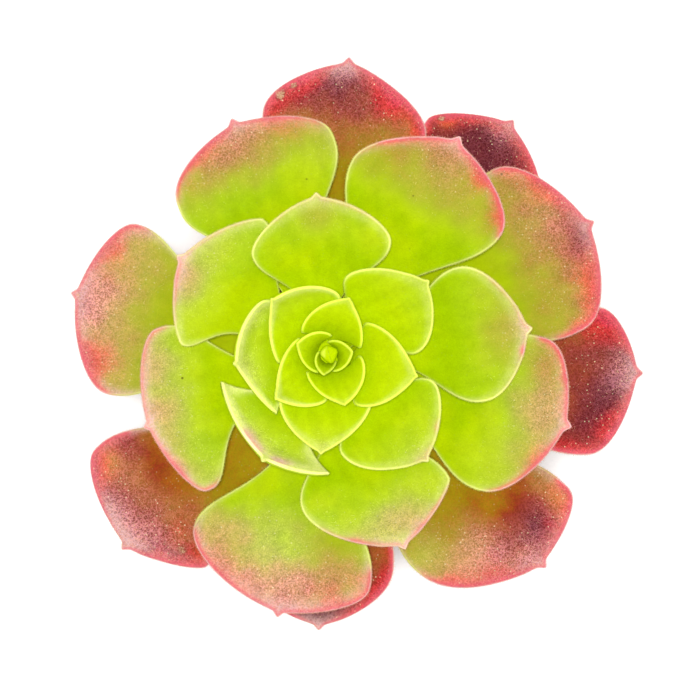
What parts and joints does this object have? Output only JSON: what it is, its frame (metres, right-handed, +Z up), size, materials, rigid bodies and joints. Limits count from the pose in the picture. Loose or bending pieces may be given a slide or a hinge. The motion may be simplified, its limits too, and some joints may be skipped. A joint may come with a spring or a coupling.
{
  "type": "potted aeonium",
  "caption": "Broad flat-topped succulent rosette with overlapping spoon-shaped leaves on a short scarred stem, growing in a plain round clay pot of soil.",
  "frame": {"origin": "middle of the whole part's plan box, at the height of the pot's flat underside", "axes": "+Z up along the pot, +Y towards the leaf at the top edge of the rosette seen from above, +X to the right of it"},
  "size_m": [0.1213, 0.1222, 0.1186],
  "materials": {
    "clay": "unglazed matt",
    "soil": "rough granular",
    "bark": "matt, scarred",
    "leaf_green": "velvety matt",
    "leaf_blush": "velvety matt",
    "leaf_red": "velvety matt"
  },
  "bodies": {
    "root": {"pot": "clay", "soil": "soil", "stem": "bark", "heart_bud": "leaf_green", "leaf_01": "leaf_green", "leaf_02": "leaf_green", "leaf_03": "leaf_green", "leaf_04": "leaf_green", "leaf_05": "leaf_green", "leaf_06": "leaf_green", "leaf_07": "leaf_green", "leaf_08": "leaf_green", "leaf_09": "leaf_green", "leaf_10": "leaf_green", "leaf_11": "leaf_green", "leaf_12": "leaf_green", "leaf_13": "leaf_green", "leaf_14": "leaf_green", "leaf_15": "leaf_green", "leaf_16": "leaf_green", "leaf_17": "leaf_green", "leaf_18": "leaf_blush", "leaf_19": "leaf_blush", "leaf_20": "leaf_blush", "leaf_21": "leaf_blush", "leaf_22": "leaf_blush", "leaf_23": "leaf_blush", "leaf_24": "leaf_blush", "leaf_25": "leaf_red", "leaf_26": "leaf_red", "leaf_27": "leaf_red", "leaf_28": "leaf_red", "leaf_29": "leaf_red", "leaf_30": "leaf_red"}
  },
  "joints": []
}
